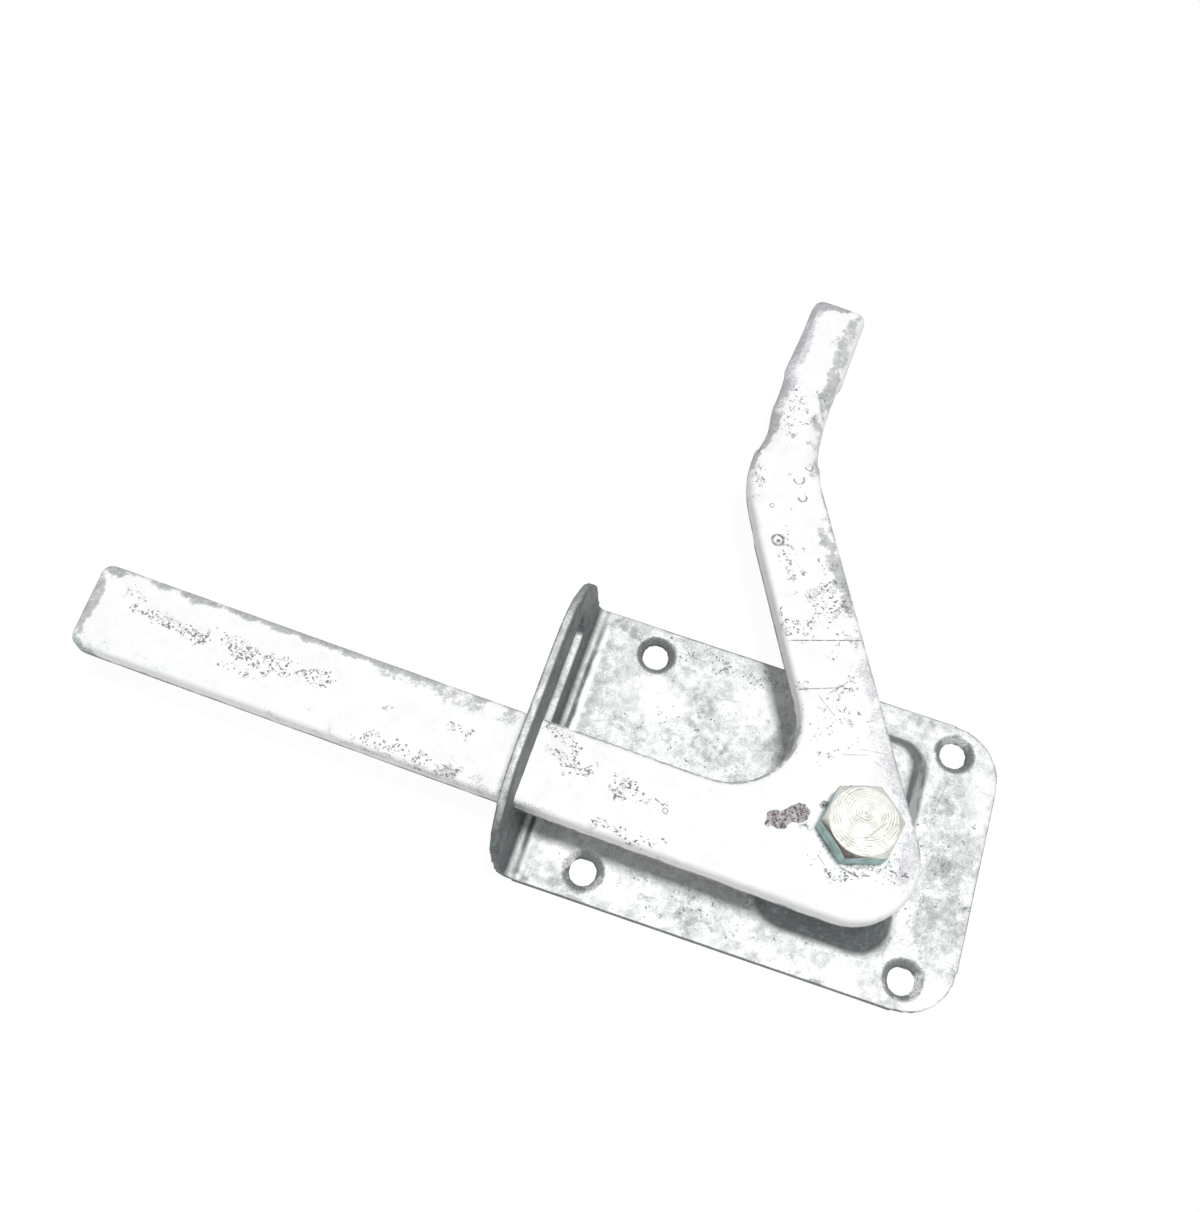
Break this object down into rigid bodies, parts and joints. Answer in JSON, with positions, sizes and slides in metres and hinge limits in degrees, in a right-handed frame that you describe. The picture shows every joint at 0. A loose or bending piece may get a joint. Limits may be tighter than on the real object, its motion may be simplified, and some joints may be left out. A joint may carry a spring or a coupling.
{
  "type": "spring loaded gate latch",
  "caption": "Surface-mounted gate latch: pressed plate with a slotted guide flange and an L-shaped lever that a hidden torsion spring holds down.",
  "frame": {"origin": "centre of the four screw holes at the plate's back face", "axes": "+Z out of the plate's front, +X from the guide flange to the plate's rounded end, +Y towards the handle"},
  "size_m": [0.2524, 0.198, 0.04],
  "materials": {
    "galvanised_sheet": "hot-dip galvanised, mottled grey spangle",
    "galvanised_forging": "hot-dip galvanised, bright with small pits",
    "zinc_plated_bolt": "zinc plated, turned face",
    "plain_steel": "turned, bare",
    "spring_wire": "drawn wire, dull",
    "zinc_plated_washer": "zinc plated",
    "zinc_plated_nut": "zinc plated"
  },
  "bodies": {
    "base": {"base_plate": "galvanised_sheet", "pivot_bolt": "zinc_plated_bolt", "spring_bush": "plain_steel", "torsion_spring": "spring_wire", "plain_washer": "zinc_plated_washer", "lock_nut": "zinc_plated_nut"},
    "lever": {"latch_lever": "galvanised_forging"}
  },
  "joints": [
    {"name": "lever_turn", "type": "hinge", "parent": "base", "child": "lever", "pos_m": [0.0192, -0.005, 0.02085], "axis": [0, 0, -1], "range_deg": [0, 19], "stiffness_Nm_per_rad": 1.5, "springref_deg": -22.92, "deforming": ["torsion_spring"]}
  ]
}
